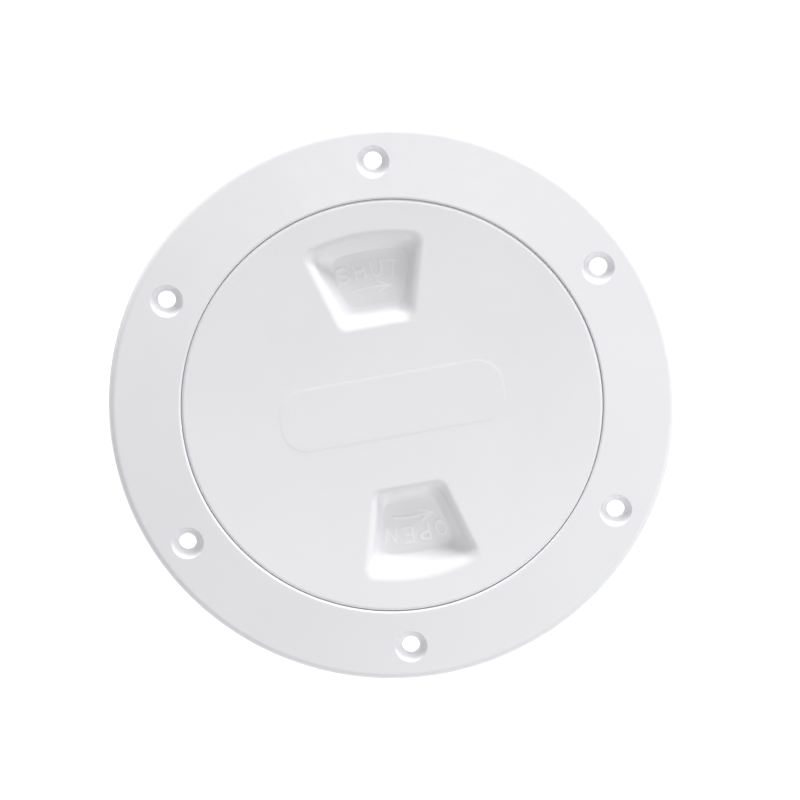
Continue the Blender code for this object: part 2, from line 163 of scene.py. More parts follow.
# ---- Mesh density -------------------------------------------------------------------------------
RING = 360                     # points round every large turned surface
HOLE_RING = 64
CORD_RING = 32
GUARD = 0.15 * MM              # a support line this far from each end of a fillet
GUARD_SHARE = 0.3              # or this share of the straight length there, if that is less
FILLET_STEP = 12.0 * DEG
THREAD_STEP = 2.0 * DEG
APRON = 1.4 * MM               # turned band beside the seam, before the filled faces begin
FLANGE_SPACING = 1.6 * MM      # between the points inside each filled face
FACE_SPACING = 1.8 * MM
PLAQUE_SPACING = 0.2 * MM
FLOOR_SPACING = 0.16 * MM
TUB_SPACING = 2.0 * MM
UNDER_SPACING = 2.5 * MM
FLANGE_MARGIN = 0.7 * MM       # between those points and the face's outlines
FACE_MARGIN = 0.3 * MM
FLOOR_MARGIN = 0.12 * MM
UNDER_MARGIN = 0.8 * MM


# ---- Mesh building ------------------------------------------------------------------------------
def arc(centre, radius, start, end, steps):
    """Points on an arc of a circle, or of an ellipse if the radius is a pair."""
    turns = [start + (end - start) * i / steps for i in range(steps + 1)]
    rx, ry = radius if isinstance(radius, tuple) else (radius, radius)
    return [(centre[0] + rx * math.cos(t), centre[1] + ry * math.sin(t)) for t in turns]


def smooth_step(t):
    """A soft ramp from 0 to 1."""
    t = min(1.0, max(0.0, t))
    return t * t * (3.0 - 2.0 * t)


def meeting(first, second):
    """Where two lines meet, each given as a point and a direction."""
    (p, a), (q, b) = first, second
    turn = a[0] * b[1] - a[1] * b[0]
    t = ((q[0] - p[0]) * b[1] - (q[1] - p[1]) * b[0]) / turn
    return p[0] + a[0] * t, p[1] + a[1] * t


def rounded(corners, step=FILLET_STEP):
    """A (radius, height) line with each corner (r, z, fillet) turned into an arc between support points."""
    line = [corners[0][:2]]
    for before, corner, after in zip(corners, corners[1:], corners[2:]):
        here = Vector(corner[:2])
        back = (Vector(before[:2]) - here).normalized()
        ahead = (Vector(after[:2]) - here).normalized()
        bend = math.pi - back.angle(ahead)
        reach = corner[2] * math.tan(bend / 2)
        middle = (back + ahead).normalized()
        centre = here + middle * (corner[2] / math.cos(bend / 2))
        start, end = here + back * reach - centre, here + ahead * reach - centre
        sense = math.copysign(1.0, start.cross(end))
        first = math.atan2(start.y, start.x)
        steps = max(3, math.ceil(bend / step))
        spare = [(Vector(other[:2]) - here).length - reach for other in (before, after)]
        guards = [min(GUARD, GUARD_SHARE * length) for length in spare]
        line.append(tuple(here + back * (reach + guards[0])))
        line += arc(tuple(centre), corner[2], first, first + sense * bend, steps)
        line.append(tuple(here + ahead * (reach + guards[1])))
    line.append(corners[-1][:2])
    return line


def new_ring(bm, radius, z, count=RING):
    """A level ring of points about Z."""
    turns = [2 * math.pi * i / count for i in range(count)]
    return [bm.verts.new((radius * math.cos(turn), radius * math.sin(turn), z)) for turn in turns]


def bridge(bm, first, second):
    """Faces between two closed rings of equal length."""
    for i in range(len(first)):
        bm.faces.new((first[i - 1], first[i], second[i], second[i - 1]))


def turned_strip(bm, line, count=RING):
    """Spin an open line about Z, and return its first and last rings."""
    rings = [new_ring(bm, r, z, count) for r, z in line]
    for first, second in zip(rings, rings[1:]):
        bridge(bm, first, second)
    return rings[0], rings[-1]


def sides(face):
    """A face's sides, each as the set of its two ends."""
    return [frozenset(pair) for pair in zip(face, face[1:] + face[:1])]


def is_inside(point, loops):
    """Whether a point lies inside an odd number of loops."""
    odd = False
    for loop in loops:
        for first, second in zip(loop, loop[1:] + loop[:1]):
            (x0, y0), (x1, y1) = first.co.xy, second.co.xy
            if (y0 > point.y) != (y1 > point.y) and point.x < x0 + (x1 - x0) * (point.y - y0) / (y1 - y0):
                odd = not odd
    return odd


def flood(faces, walls, start):
    """The faces reached from the start without crossing a wall."""
    touching = {}
    for k, face in enumerate(faces):
        for side in sides(face):
            touching.setdefault(side, []).append(k)
    reached = {start}
    queue = [start]
    while queue:
        for side in sides(faces[queue.pop()]):
            if side not in walls:
                fresh = set(touching[side]) - reached
                reached |= fresh
                queue += fresh
    return [faces[k] for k in sorted(reached)]


def line_distance(points, lines):
    """Each point's distance to the nearest of the lines."""
    nearest = np.full(len(points), 1.0)
    for line in lines:
        for (x0, y0), (x1, y1) in zip(line, line[1:]):
            along = np.array((x1 - x0, y1 - y0))
            from_start = points - np.array((x0, y0))
            t = np.clip(from_start @ along / (along @ along), 0.0, 1.0)
            gap = from_start - t[:, None] * along
            nearest = np.minimum(nearest, np.hypot(gap[:, 0], gap[:, 1]))
    return nearest


def fill(bm, loops, points, height, margin):
    """Triangulate inside the first loop and outside the others, through the points that keep a margin."""
    rims = [vert for loop in loops for vert in loop]
    outlines = [[tuple(vert.co.xy) for vert in loop + loop[:1]] for loop in loops]
    inner = [point for point, gap in zip(points, line_distance(np.array(points), outlines)) if gap > margin]
    coords = [Vector((v.co.x / MM, v.co.y / MM)) for v in rims]
    coords += [Vector((x / MM, y / MM)) for x, y in inner]
    edges = []
    start = 0
    for loop in loops:
        edges += [(start + i, start + (i + 1) % len(loop)) for i in range(len(loop))]
        start += len(loop)
    flat, _, faces, origins, _, _ = geometry.delaunay_2d_cdt(coords, edges, [], 1, 1e-6, True)
    place = {origin[0]: k for k, origin in enumerate(origins)}
    walls = {frozenset((place[a], place[b])) for a, b in edges}
    areas = [geometry.area_tri(*(flat[k].to_3d() for k in face)) for face in faces]
    start = next(k for k in sorted(range(len(faces)), key=lambda k: -areas[k])
                 if is_inside(sum((flat[i] for i in faces[k]), Vector((0.0, 0.0))) * MM / 3, loops))
    made = {}
    for face in flood(faces, walls, start):
        corner = []
        for k in face:
            source = origins[k][0]
            if source < len(rims):
                corner.append(rims[source])
                continue
            if source not in made:
                x, y = flat[k].x * MM, flat[k].y * MM
                made[source] = bm.verts.new((x, y, height(x, y)))
            corner.append(made[source])
        bm.faces.new(corner)


def polar_points(inner_r, outer_r, spacing):
    """Points on rings about the axis, about a spacing apart."""
    points = []
    rings = max(1, round((outer_r - inner_r) / spacing))
    for k in range(rings + 1):
        r = inner_r + (outer_r - inner_r) * k / rings
        count = max(1, round(2 * math.pi * r / spacing))
        points += [(r * math.cos(2 * math.pi * (i + 0.5 * (k % 2)) / count),
                    r * math.sin(2 * math.pi * (i + 0.5 * (k % 2)) / count)) for i in range(count)]
    return points


def make_object(name, bm):
    """Turn the mesh being built into an object, with its faces turned outwards."""
    bmesh.ops.recalc_face_normals(bm, faces=bm.faces)
    mesh = bpy.data.meshes.new(name)
    bm.to_mesh(mesh)
    bm.free()
    obj = bpy.data.objects.new(name, mesh)
    bpy.context.scene.collection.objects.link(obj)
    return obj


def join_solids(target, tools):
    """Union the tools into the target and remove them."""
    for tool in tools:
        step = target.modifiers.new("union", "BOOLEAN")
        step.operation = "UNION"
        step.solver = "MANIFOLD"
        step.object = tool
    bpy.context.view_layer.update()
    evaluated = target.evaluated_get(bpy.context.evaluated_depsgraph_get())
    result = bpy.data.meshes.new_from_object(evaluated)
    target.modifiers.clear()
    target.data = result
    for tool in tools:
        bpy.data.objects.remove(tool, do_unlink=True)


def finish_piece(obj, material, body, node):
    """Give a piece its material, tie it to its body and hide the CAD node that it stands in for."""
    obj.data.materials.clear()
    obj.data.materials.append(material)
    obj.data.shade_smooth()
    obj.data.set_sharp_from_angle(angle=40.0 * DEG)
    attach(obj, body)
    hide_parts(node)


# ---- Thread -------------------------------------------------------------------------------------
def ridge_section(root_r, tip_r, full_depth):
    """Trapezium of one ridge with a rounded crest, as (radius, height) from its lower to its upper root."""
    outward = 1.0 if tip_r > root_r else -1.0
    slope = (RIDGE_ROOT_HALF - RIDGE_CREST_HALF) / full_depth
    depth = abs(tip_r - root_r)
    base_half = RIDGE_ROOT_HALF + slope * RIDGE_EMBED
    tip_half = RIDGE_ROOT_HALF - slope * depth
    cut = min(0.25 * MM, 0.4 * depth)
    side = [(root_r - outward * RIDGE_EMBED, base_half), (tip_r - outward * cut, tip_half + slope * cut),
            (tip_r - outward * cut * 0.3, tip_half - cut * 0.15), (tip_r, tip_half - cut * 0.7)]
    return [(r, -z) for r, z in side] + [(r, z) for r, z in reversed(side)]


def thread_ridges(prefix, root_r, crest_r, z_range, shift):
    """One helical ridge per start, fading out at both ends."""
    outward = 1.0 if crest_r > root_r else -1.0
    full_depth = abs(crest_r - root_r)
    turn = 2 * math.pi * (z_range[1] - z_range[0]) / LEAD
    count = round(turn / THREAD_STEP)
    ridges = []
    for start in range(STARTS):
        bm = bmesh.new()
        rings = []
        for i in range(count + 1):
            travelled = i * THREAD_STEP
            fade = smooth_step(min(travelled, (count - i) * THREAD_STEP) / RIDGE_RUNOUT)
            tip_r = root_r + outward * ((full_depth + RIDGE_SINK) * fade - RIDGE_SINK)
            z = z_range[0] + LEAD * travelled / (2 * math.pi)
            angle = travelled + shift + 2 * math.pi * start / STARTS + THREAD_STEP / 4
            rings.append([bm.verts.new((r * math.cos(angle), r * math.sin(angle), z + dz))
                          for r, dz in ridge_section(root_r, tip_r, full_depth)])
        for first, second in zip(rings, rings[1:]):
            bridge(bm, first, second)
        bm.faces.new(rings[0][::-1])
        bm.faces.new(rings[-1])
        ridges.append(make_object(f"{prefix}_{start}", bm))
    return ridges


def helix_angle(z):
    """How far round the thread has turned at a height."""
    return 2 * math.pi * z / LEAD


# ---- Frame --------------------------------------------------------------------------------------
def flange_top(x, y):
    """Height of the flange's top, which falls towards its rim."""
    return TOP_Z - FLANGE_SLOPE * (math.hypot(x, y) - RECESS_R - SEAM_FILLET)


def groove_corners(r):
    """The four corners of a sealant groove, from its inner edge outwards."""
    half = GROOVE_WIDTH / 2
    lip, root = GROOVE_FILLETS
    return [(r - half, DECK_Z, lip), (r - half + GROOVE_DRAFT, DECK_Z + GROOVE_DEPTH, root),
            (r + half - GROOVE_DRAFT, DECK_Z + GROOVE_DEPTH, root), (r + half, DECK_Z, lip)]


def bend_points(start, corner, end, steps):
    """Points on the quadratic curve that rounds a corner."""
    points = []
    for i in range(steps + 1):
        t = i / steps
        point = start * (1 - t) ** 2 + corner * (2 * t * (1 - t)) + end * t ** 2
        points.append((point.x, point.y))
    return points


def hole_rings(bm, centre):
    """One countersunk screw hole: its rings from the flange's top down to its underside."""
    bore_z = flange_top(HOLE_CIRCLE_R, 0.0) - (SINK_R - HOLE_R)
    bore_top, bore_foot = Vector((HOLE_R, bore_z)), Vector((HOLE_R, DECK_Z))
    waist = Vector((SINK_R - SINK_WAIST[0], bore_z + SINK_WAIST[1]))
    inward = (bore_top - waist).normalized()
    down_bore, outward = Vector((0.0, -HOLE_SOFT)), Vector((HOLE_EDGE, 0.0))
    columns = []
    for i in range(HOLE_RING):
        turn = 2 * math.pi * i / HOLE_RING
        along = Vector((math.cos(turn), math.sin(turn)))

        def surface(reach):
            """The flange's top, this far from the hole's axis."""
            at = centre + along * reach
            return Vector((reach, flange_top(at.x, at.y)))
        lip = surface(SINK_R)
        down = (waist - lip).normalized()
        section = [surface(SINK_R + HOLE_APRON), surface(SINK_R + HOLE_EDGE + GUARD)]
        section += bend_points(surface(SINK_R + HOLE_EDGE), lip, lip + down * HOLE_EDGE, 4)
        section += bend_points(lip + down * (HOLE_EDGE + GUARD), waist,
                               bore_top - inward * 2 * HOLE_SOFT, 10)
        section += bend_points(bore_top - inward * HOLE_SOFT, bore_top, bore_top + down_bore, 3)
        section += bend_points(bore_foot + Vector((0.0, HOLE_EDGE)), bore_foot, bore_foot + outward, 4)
        section.append((HOLE_R + HOLE_EDGE + GUARD, DECK_Z))
        columns.append([bm.verts.new((centre.x + along.x * reach, centre.y + along.y * reach, z))
                        for reach, z in section])
    rings = [list(ring) for ring in zip(*columns)]
    for first, second in zip(rings, rings[1:]):
        bridge(bm, first, second)
    return rings[0], rings[-1]


def build_frame():
    """The flange and its threaded collar, one moulding."""
    bm = bmesh.new()
    groove_in, groove_out = sorted(GROOVE_RADII)
    apron_r = RECESS_R + APRON
    band_in = groove_in + GROOVE_WIDTH / 2 + GROOVE_BAND
    band_out = groove_out - GROOVE_WIDTH / 2 - GROOVE_BAND
    inside = [(apron_r, flange_top(apron_r, 0.0)), (RECESS_R, flange_top(RECESS_R, 0.0), SEAM_FILLET),
              (RECESS_R, LEDGE_Z, 0.3 * MM), (FEMALE_ROOT_R, LEDGE_Z, 0.35 * MM),
              (FEMALE_ROOT_R, BASE_Z, 0.6 * MM), (COLLAR_LOW_R, BASE_Z, 0.7 * MM),
              (COLLAR_TOP_R, DECK_Z, 0.8 * MM)] + groove_corners(groove_in) + [(band_in, DECK_Z)]
    top_in, under_in = turned_strip(bm, rounded(inside))
    edge_end = FLANGE_R - FLANGE_EDGE - 0.6 * MM
    outside = [(band_out, DECK_Z)] + groove_corners(groove_out) + [
        (FLANGE_R, DECK_Z, 0.25 * MM), (FLANGE_R, flange_top(FLANGE_R, 0.0), FLANGE_EDGE),
        (edge_end, flange_top(edge_end, 0.0))]
    under_out, top_out = turned_strip(bm, rounded(outside))
    mouths, feet = [], []
    for i in range(HOLE_COUNT):
        angle = HOLE_FIRST - 2 * math.pi * i / HOLE_COUNT
        along = Vector((math.cos(angle), math.sin(angle)))
        mouth, foot = hole_rings(bm, HOLE_CIRCLE_R * along)
        mouths.append(mouth)
        feet.append(foot)
    top_points = polar_points(apron_r, edge_end, FLANGE_SPACING)
    under_points = polar_points(band_in, band_out, FLANGE_SPACING)
    fill(bm, [top_out, top_in] + mouths, top_points, flange_top, FLANGE_MARGIN)
    fill(bm, [under_out, under_in] + feet, under_points, lambda x, y: DECK_Z, FLANGE_MARGIN)
    obj = make_object("frame_moulding", bm)
    ridges = thread_ridges("female", FEMALE_ROOT_R, FEMALE_CREST_R, FEMALE_Z, helix_angle(FEMALE_Z[0]))
    join_solids(obj, ridges)
    return obj


# ---- Lid: its wells ------------------------------------------------------------------------------
def lid_top(x, y):
    """Height of the dished face."""
    return LID_EDGE_Z - DISH * (1.0 - (x * x + y * y) / LID_R ** 2)


def lid_under(x, y):
    """Height of the plate's underside."""
    return lid_top(x, y) - PLATE


def well_half(outer_r, inner_v, side_in, corner, corner_steps, side_steps):
    """The right-hand half of a well's outline as (u, v, (first side, second side, share)) points."""
    lean = math.atan2(WELL_OUTER_HALF - WELL_INNER_HALF, WELL_OUTER_V - WELL_INNER_V)
    inward = (-math.cos(lean), math.sin(lean))
    point = (WELL_INNER_HALF + inward[0] * side_in, WELL_INNER_V + inward[1] * side_in)
    reach = inner_v + corner - point[1]
    inner_centre = (point[0] - (corner - math.sin(lean) * reach) / math.cos(lean), inner_v + corner)
    base = (point[0] + inward[0] * corner, point[1] + inward[1] * corner)
    along = base[0] * math.sin(lean) + base[1] * math.cos(lean)
    short = base[0] ** 2 + base[1] ** 2 - (outer_r - corner) ** 2
    travel = -along + math.sqrt(along * along - short)
    outer_centre = (base[0] + travel * math.sin(lean), base[1] + travel * math.cos(lean))
    swing = math.atan2(outer_centre[1], outer_centre[0])
    low = arc(inner_centre, corner, -math.pi / 2, -lean, corner_steps)
    high = arc(outer_centre, corner, -lean, swing, corner_steps)
    points = [(u, v, ("inner", "right", i / corner_steps)) for i, (u, v) in enumerate(low)]
    for i in range(1, side_steps):
        t = i / side_steps
        u = low[-1][0] + (high[0][0] - low[-1][0]) * t
        v = low[-1][1] + (high[0][1] - low[-1][1]) * t
        points.append((u, v, ("right", "right", 0.0)))
    points += [(u, v, ("right", "outer", i / corner_steps)) for i, (u, v) in enumerate(high)]
    return points, swing


def well_outline(shrink, corner):
    """A well's outline, counter-clockwise, with each side moved in from the mouth by its own shrink."""
    outer_r = WELL_OUTER_R - shrink["outer"]
    inner_v = WELL_INNER_V + shrink["inner"]
    corner_steps, side_steps, rim_steps, inner_steps = 10, 24, 40, 18
    right, right_swing = well_half(outer_r, inner_v, shrink["right"], corner, corner_steps, side_steps)
    left, left_swing = well_half(outer_r, inner_v, shrink["left"], corner, corner_steps, side_steps)
    outline = list(right)
    rim = arc((0.0, 0.0), outer_r, right_swing, math.pi - left_swing, rim_steps)
    outline += [(u, v, ("outer", "outer", 0.0)) for u, v in rim[1:-1]]
    for u, v, (first, second, share) in reversed(left):
        between = ["left" if side == "right" else side for side in (first, second)]
        outline.append((-u, v, (*between, share)))
    end, start = outline[-1], outline[0]
    for i in range(1, inner_steps):
        t = i / inner_steps
        outline.append((end[0] + (start[0] - end[0]) * t, end[1], ("inner", "inner", 0.0)))
    return outline


def well_section(side, wall, top_gap):
    """(Distance in from the mouth, drop) down one side of a well, or down the shell a wall outside it.

    top_gap is how far the face that it starts on lies below the mouth's face.
    """
    lip, upper, drop, break_round, lower, floor_round = WELL_SIDES[side]
    if wall > 0.0:
        lip = TUB_LIP
    depth = lid_top(0.0, 0.5 * (WELL_OUTER_R + WELL_INNER_V)) - WELL_FLOOR_Z
    lines = [((0.0, top_gap), (1.0, 0.0))]
    for slope, start in ((upper, (0.0, 0.0)), (lower, (drop / math.tan(upper), drop))):
        along = (math.cos(slope), math.sin(slope))
        lines.append(((start[0] - wall * along[1], start[1] + wall * along[0]), along))
    if upper == lower:
        lines.pop()
    lines.append(((0.0, depth + wall), (1.0, 0.0)))
    corners = [meeting(first, second) for first, second in zip(lines, lines[1:])]
    bends = [lip, floor_round + wall] if upper == lower else [lip, break_round + wall, floor_round + wall]
    corners = [(x, y, bend) for (x, y), bend in zip(corners, bends)]
    first, last = corners[0], corners[-1]
    ends = (first[0] - WELL_APRON, first[1]), (last[0] + WELL_REACH, last[1])
    line = rounded([ends[0], *corners, ends[1]], WELL_STEP)[1:-1]
    steps = [0.0]
    for (x0, y0), (x1, y1) in zip(line, line[1:]):
        steps.append(steps[-1] + math.hypot(x1 - x0, y1 - y0))
    places = np.linspace(0.0, steps[-1], WELL_LEVELS)
    return list(zip(*(np.interp(places, steps, along) for along in zip(*line))))


def well_rings(bm, half, wall, top_gap):
    """One well, or the shell a wall outside it: its ring at the mouth and its ring at the floor."""
    sections = {side: well_section(side, wall, top_gap) for side in WELL_SIDES}
    depth = sections["inner"][-1][1] - top_gap
    sign = -1.0 if half else 1.0
    rings = []
    for level in range(len(sections["inner"])):
        shrink = {side: points[level][0] for side, points in sections.items()}
        shrink["right"] += WELL_TRIMS[half]
        ring = []
        for u, v, (first, second, share) in well_outline(shrink, WELL_CORNER - 0.3 * wall):
            low, high = sections[first][level][1], sections[second][level][1]
            drop = low + (high - low) * smooth_step(share)
            part = (drop - top_gap) / depth
            face = lid_top(u, v) - top_gap
            floor = WELL_FLOOR_Z - wall
            z = face + (floor - face) * part
            ring.append(bm.verts.new((sign * u, sign * v, z)))
        rings.append(ring)
    for first, second in zip(rings, rings[1:]):
        bridge(bm, first, second)
    return rings[0], rings[-1]


# ---- Lid: its raised marks -----------------------------------------------------------------------
def glyph_strokes(letter):
    """A plain block letter as lines in a cell one wide and one high."""
    bowl = arc((0.5, 0.75), (0.5, 0.25), 25 * DEG, 270 * DEG, 12)
    tail = arc((0.5, 0.25), (0.5, 0.25), 90 * DEG, -155 * DEG, 12)
    shapes = {
        "S": [bowl + tail[1:]],
        "H": [[(0, 0), (0, 1)], [(1, 0), (1, 1)], [(0, 0.5), (1, 0.5)]],
        "U": [[(0, 1)] + arc((0.5, 0.32), (0.5, 0.32), math.pi, 2 * math.pi, 12) + [(1, 1)]],
        "T": [[(0, 1), (1, 1)], [(0.5, 1), (0.5, 0)]],
        "O": [arc((0.5, 0.5), (0.5, 0.5), 0.0, 2 * math.pi, 24)],
        "P": [[(0, 0), (0, 1)] + arc((0.6, 0.75), (0.4, 0.25), math.pi / 2, -math.pi / 2, 10) + [(0, 0.5)]],
        "E": [[(1, 1), (0, 1), (0, 0), (1, 0)], [(0, 0.5), (0.8, 0.5)]],
        "N": [[(0, 0), (0, 1), (1, 0), (1, 1)]],
    }
    return shapes[letter]


def text_lines(word):
    """The strokes of a word that follows an arc about the lid's centre."""
    lines = []
    for i, letter in enumerate(word):
        middle = math.pi / 2 + TEXT_PITCH * ((len(word) - 1) / 2 - i)
        for cell in glyph_strokes(letter):
            line = []
            for x, y in cell:
                r = TEXT_R + (y - 0.5) * TEXT_HIGH
                angle = middle - (x - 0.5) * TEXT_WIDE / TEXT_R
                line.append((r * math.cos(angle), r * math.sin(angle)))
            lines.append(line)
    return lines


def arrow_lines(sense):
    """A curved arrow; sense is -1 for clockwise and 1 for counter-clockwise, seen from above."""
    tip = math.pi / 2 + sense * ARROW_HALF
    shaft = arc((0.0, 0.0), ARROW_R, math.pi / 2 - sense * ARROW_HALF, tip, 12)
    back = tip - sense * ARROW_HEAD / ARROW_R
    barbs = [(r * math.cos(back), r * math.sin(back)) for r in (ARROW_R - ARROW_BARB, ARROW_R + ARROW_BARB)]
    return [shaft, [barbs[0], shaft[-1], barbs[1]]]


def grid_points(low, high, spacing):
    """Points of a staggered grid over a rectangle."""
    points = []
    rows = round((high[1] - low[1]) / spacing)
    columns = round((high[0] - low[0]) / spacing)
    for j in range(rows + 1):
        stagger = 0.5 * (j % 2)
        points += [(low[0] + (i + stagger) * spacing, low[1] + j * spacing) for i in range(columns + 1)]
    return points


def fill_floor(bm, ring, half, word, sense):
    """A well's floor, with its word and arrow raised out of it by moving its points."""
    sign = -1.0 if half else 1.0
    lines = [[(sign * x, sign * y) for x, y in line] for line in text_lines(word) + arrow_lines(sense)]
    xs, ys = [v.co.x for v in ring], [v.co.y for v in ring]
    points = grid_points((min(xs), min(ys)), (max(xs), max(ys)), FLOOR_SPACING)
    rise = {}
    reach = STROKE / 2 + MARK_SOFT / 2
    for point, gap in zip(points, line_distance(np.array(points), lines)):
        rise[point] = MARK_RISE * smooth_step((reach - gap) / MARK_SOFT)
    tree = kdtree.KDTree(len(points))
    for i, point in enumerate(points):
        tree.insert((*point, 0.0), i)
    tree.balance()

    def raised(x, y):
        return WELL_FLOOR_Z + rise[points[tree.find((x, y, 0.0))[1]]]
    fill(bm, [ring], points, raised, FLOOR_MARGIN)


def plaque_gap(x, y):
    """Distance outside the edge of the blank pad at the lid's centre, less than zero inside it."""
    qx = abs(x) - PLAQUE_HALF[0] + PLAQUE_CORNER
    qy = abs(y) - PLAQUE_HALF[1] + PLAQUE_CORNER
    return math.hypot(max(qx, 0.0), max(qy, 0.0)) + min(max(qx, qy), 0.0) - PLAQUE_CORNER


def lid_face(x, y):
    """Height of the face with its pad."""
    return lid_top(x, y) + PLAQUE_RISE * smooth_step(0.5 - plaque_gap(x, y) / PLAQUE_EDGE)


def face_points():
    """Points over the lid's face: wide apart, and close together along the pad's edge."""
    coarse = polar_points(0.0, LID_R - 2.0 * MM, FACE_SPACING)
    corner = (PLAQUE_HALF[0] + MM, PLAQUE_HALF[1] + MM)
    fine = grid_points((-corner[0], -corner[1]), corner, PLAQUE_SPACING)
    band = 0.7 * PLAQUE_EDGE
    return ([p for p in coarse if abs(plaque_gap(*p)) > band + 0.5 * MM]
            + [p for p in fine if abs(plaque_gap(*p)) < band])


# ---- Lid: the moulding ---------------------------------------------------------------------------
def rib(name, angle):
    """A straight stiffening rib from the ring rib out to the skirt, with rounded lower edges."""
    half = RIB_THICK / 2
    low = arc((half - RIB_FILLET, RIB_Z + RIB_FILLET), RIB_FILLET, 0.0, -math.pi / 2, 4)
    side = [(half + RIB_DRAFT, lid_under(0.0, 0.0) + PLATE / 2)] + low
    section = side + [(-x, z) for x, z in reversed(side)]
    bm = bmesh.new()
    rings = [[bm.verts.new((reach, y, z)) for y, z in section]
             for reach in (RIB_RING_R, SKIRT_IN_R + RIB_THICK / 2)]
    bridge(bm, *rings)
    bm.faces.new(rings[0][::-1])
    bm.faces.new(rings[1])
    obj = make_object(name, bm)
    obj.rotation_euler.z = angle * DEG
    return obj


def build_lid():
    """The dished plate with its finger wells, threaded skirt and ribs, one moulding."""
    bm = bmesh.new()
    apron_r = LID_R - APRON
    root_r = SKIRT_IN_R - 0.75 * MM
    edge = [(apron_r, lid_top(apron_r, 0.0)), (LID_R, lid_top(LID_R, 0.0), LID_FILLET),
            (LID_R, RIM_UNDER_Z, 0.3 * MM), (NECK_R, RIM_UNDER_Z, 0.4 * MM), (NECK_R, LEDGE_Z, 0.3 * MM),
            (MALE_ROOT_R, LEDGE_Z - 0.9 * MM, 0.4 * MM), (MALE_ROOT_R, SKIRT_Z, 0.7 * MM),
            (SKIRT_IN_R, SKIRT_Z, 0.6 * MM), (SKIRT_IN_R, lid_under(SKIRT_IN_R, 0.0), 0.45 * MM),
            (root_r, lid_under(root_r, 0.0))]
    face_rim, under_rim = turned_strip(bm, rounded(edge))
    ring_out, ring_in = RIB_RING_R + RIB_THICK / 2, RIB_RING_R - RIB_THICK / 2
    ring_rib = [(ring_out + MM, lid_under(ring_out, 0.0)), (ring_out, lid_under(ring_out, 0.0), RIB_FILLET),
                (ring_out, RIB_Z, RIB_FILLET), (ring_in, RIB_Z, RIB_FILLET),
                (ring_in, lid_under(ring_in, 0.0), RIB_FILLET), (ring_in - MM, lid_under(ring_in, 0.0))]
    rib_out, rib_in = turned_strip(bm, rounded(ring_rib), RING // 3)
    tub_points = polar_points(20.0 * MM, 46.0 * MM, TUB_SPACING)
    mouths, feet = [], []
    for half, word, sense in ((0, "SHUT", -1), (1, "OPEN", 1)):
        mouth, floor = well_rings(bm, half, 0.0, 0.0)
        fill_floor(bm, floor, half, word, sense)
        foot, base = well_rings(bm, half, WELL_WALL, PLATE)
        fill(bm, [base], tub_points, lambda x, y: WELL_FLOOR_Z - WELL_WALL, UNDER_MARGIN)
        mouths.append(mouth)
        feet.append(foot)
    under_points = polar_points(ring_out + MM, root_r, UNDER_SPACING)
    fill(bm, [face_rim] + mouths, face_points(), lid_face, FACE_MARGIN)
    fill(bm, [under_rim, rib_out] + feet, under_points, lid_under, UNDER_MARGIN)
    fill(bm, [rib_in], polar_points(0.0, ring_in, UNDER_SPACING), lid_under, UNDER_MARGIN)
    obj = make_object("lid_moulding", bm)
    tools = [rib(f"rib_{i}", angle) for i, angle in enumerate(RIB_ANGLES)]
    tools += thread_ridges("male", MALE_ROOT_R, MALE_CREST_R, MALE_Z,
                           helix_angle(MALE_Z[0]) + math.pi / STARTS - LID_TURN)
    join_solids(obj, tools)
    obj.data.transform(Matrix.Rotation(LID_TURN, 4, "Z"))
    return obj


# ---- O-ring --------------------------------------------------------------------------------------
def build_o_ring():
    """A round cord with the fine flash line that moulding leaves round its inside and outside."""
    bm = bmesh.new()
    rings = []
    for i in range(CORD_RING):
        turn = 2 * math.pi * i / CORD_RING
        flash = FLASH if i in (0, CORD_RING // 2) else 0.0
        reach = CORD_R - CORD_CLEAR + flash
        rings.append(new_ring(bm, CORD_CIRCLE_R + reach * math.cos(turn), CORD_Z + reach * math.sin(turn)))
    for first, second in zip(rings, rings[1:] + rings[:1]):
        bridge(bm, first, second)
    return make_object("seal_cord", bm)


# ---- Materials -----------------------------------------------------------------------------------
def node(tree, kind, **values):
    made = tree.nodes.new(kind)
    for key, value in values.items():
        setattr(made, key, value)
    return made


def noise(tree, coordinates, scale, detail, roughness=0.5):
    made = node(tree, "ShaderNodeTexNoise")
    made.inputs["Scale"].default_value = scale
    made.inputs["Detail"].default_value = detail
    made.inputs["Roughness"].default_value = roughness
    tree.links.new(coordinates, made.inputs["Vector"])
    return made.outputs["Fac"]


def remap(tree, value, source, result):
    """Map one range of values onto another, clamped at both ends."""
    made = node(tree, "ShaderNodeMapRange")
    made.inputs["From Min"].default_value, made.inputs["From Max"].default_value = source
    made.inputs["To Min"].default_value, made.inputs["To Max"].default_value = result
    tree.links.new(value, made.inputs["Value"])
    return made.outputs["Result"]


def spread(tree, value, low, high):
    """Map a noise's middle range onto low to high."""
    return remap(tree, value, (0.3, 0.7), (low, high))


def times(tree, first, second):
    made = node(tree, "ShaderNodeMath", operation="MULTIPLY")
    tree.links.new(first, made.inputs[0])
    tree.links.new(second, made.inputs[1])
    return made.outputs["Value"]


def blend_colours(tree, factor, first, second):
    made = node(tree, "ShaderNodeMix", data_type="RGBA")
    made.inputs["A"].default_value = (*first, 1.0)
    made.inputs["B"].default_value = (*second, 1.0)
    tree.links.new(factor, made.inputs["Factor"])
    return made.outputs["Result"]


def surface_bump(tree, heights):
    """Stack bumps given as (height socket, distance in metres, strength)."""
    normal = None
    for height, distance, strength in heights:
        made = node(tree, "ShaderNodeBump")
        made.inputs["Distance"].default_value = distance
        made.inputs["Strength"].default_value = strength
        tree.links.new(height, made.inputs["Height"])
        if normal is not None:
            tree.links.new(normal, made.inputs["Normal"])
        normal = made.outputs["Normal"]
    return normal


